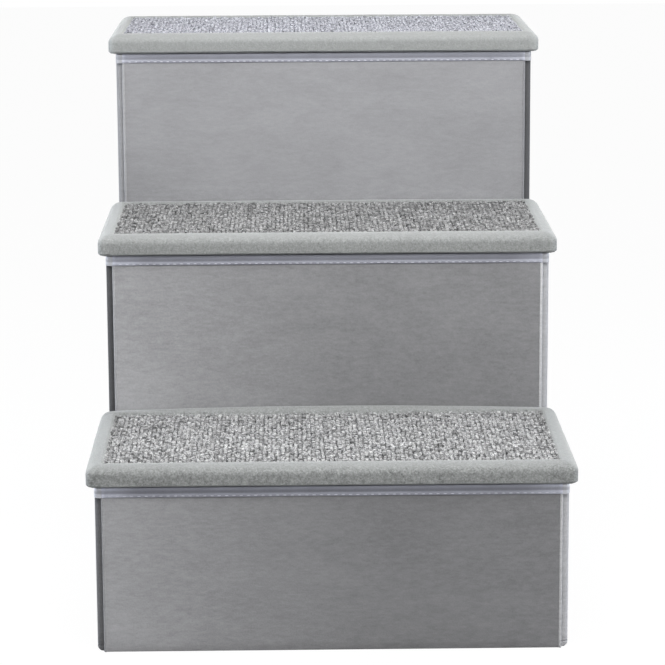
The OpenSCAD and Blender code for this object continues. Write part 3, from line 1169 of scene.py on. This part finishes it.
def add_tread(p, cushion, seed, tones, pressed_up):
    body = f"{p}_tread"
    low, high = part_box(f"{p}_tread_cover")
    first_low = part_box("lower_tread_cover")[0]
    cover = copied(cushion, f"{p}_tread_fleece", low - first_low)
    settle_tread(cover, low, high, seed, pressed_up)
    smooth(cover, radians(60))
    clothe(
        cover, body, "fleece", fleece_cloth, lining_cloth,
        replaces=[f"{p}_tread_cover", f"{p}_tread_foam"],
    )
    middle = (low + high) / 2
    reach = (high - low) / 2 - Vector((9 * MM, 9 * MM, 0))
    for face in cover.data.polygons:
        off = face.center - middle
        under = face.normal.z < -0.8 and abs(off.x) < reach.x and abs(off.y) < reach.y
        face.material_index = int(under)
    seat_low, seat_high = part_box(f"{p}_tread_carpet")
    backing = block(
        f"{p}_carpet_backing", seat_low + Vector((0, 0, 0.1 * MM)),
        (seat_high.x, seat_high.y, seat_low.z + 1.4 * MM),
    )
    with editing(backing):
        round_upright(lambda co: True, 2 * MM, 3)
        soften(0.4 * MM)
        cut_along(0, 12 * MM)
        cut_along(1, 12 * MM)
    smooth(backing)
    clothe(backing, body, "carpet", lining_cloth)
    pile = loop_carpet(f"{p}_carpet_loops", seat_low, seat_high, tones, seed)
    yarn_cloth = yarn_cool if p == "upper" else yarn_mix
    clothe(pile, body, "carpet", yarn_cloth, replaces=[f"{p}_tread_carpet"])
    batten_low, batten_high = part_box(f"{p}_tread_batten")
    batten = block(f"{p}_locating_batten", batten_low, batten_high)
    with editing(batten):
        soften(1.2 * MM, 3)
        cut_along(0, 12 * MM)
    shape(batten, lambda point, normal: normal * 0.05 * MM * wave(point, 12 * MM, seed))
    smooth(batten)
    clothe(batten, body, "batten_wood", board_wood, replaces=[f"{p}_tread_batten"])


# The carpets' greys, each with its share of the plies
YARNS = {
    "lower": ((0.405, 0.26), (0.32, 0.36), (0.212, 0.26), (0.095, 0.12)),
    "middle": ((0.288, 0.24), (0.226, 0.36), (0.144, 0.28), (0.068, 0.12)),
    "upper": ((0.385, 0.34), (0.335, 0.40), (0.27, 0.20), (0.19, 0.06)),
}
# How far the next riser presses a tread's back roll up
PRESSED_UP = {"lower": 5.8 * MM, "middle": 0.7 * MM, "upper": 0.5 * MM}
LEFT, RIGHT = Vector((-1, 0, 0)), Vector((1, 0, 0))
FRONT, BACK = Vector((0, -1, 0)), Vector((0, 1, 0))

cushion = tread_cushion(*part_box("lower_tread_cover"))
for place, p in enumerate(BOXES):
    seed = 10 * place + 1
    left_end, right_end = velour_sides[p]
    riser, riser_pipings = velour_riser, (piping_cloth, piping_painted_highlight)
    if p == "upper":
        # On the top box the riser is a lighter copy without the painted light gradient, and its right
        # piping is painted in shade
        riser, riser_pipings = velour_riser_up, (piping_cloth, piping_painted_shade)
    front_rounds = [(-1, -1, PANEL_ROUND), (1, -1, PANEL_ROUND)]
    back_rounds = [(-1, 1, PANEL_ROUND), (1, 1, PANEL_ROUND)]
    add_panel(p, "front", f"{p}_box", FRONT, front_rounds, seed, riser, "velour")
    add_panel(p, "back", f"{p}_back", BACK, back_rounds, seed + 1, velour_cloth, "velour")
    for side, out, end in (("left", LEFT, left_end), ("right", RIGHT, right_end)):
        for half, way in (("front", -1), ("rear", 1)):
            add_panel(
                p, f"{side}_{half}", f"{p}_{side}_{half}", out, [(out.x, way, SIDE_ROUND)],
                seed + 2 + way, end, "velour_side",
            )
        crease_tape(p, side, seed)
        corner_tape(p, side, "front")
        corner_tape(p, side, "rear")
    add_base(p, seed, left_end, right_end)
    add_pipings(p, "front", "riser", f"{p}_box", seed, riser_pipings)
    add_pipings(p, "back", "back", f"{p}_back", seed + 4, (piping_cloth, piping_cloth))
    add_tread(p, cushion, seed, YARNS[p], PRESSED_UP[p])
    if p != "upper":
        fastening_strips(p, "hook", f"{p}_back", "hook_tape", hook_cloth, BACK)
    if p != "lower":
        fastening_strips(p, "loop", f"{p}_box", "loop_tape", loop_cloth, FRONT)
    coat(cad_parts[f"{p}_tread_board"], board_wood)

bpy.data.objects.remove(cushion)
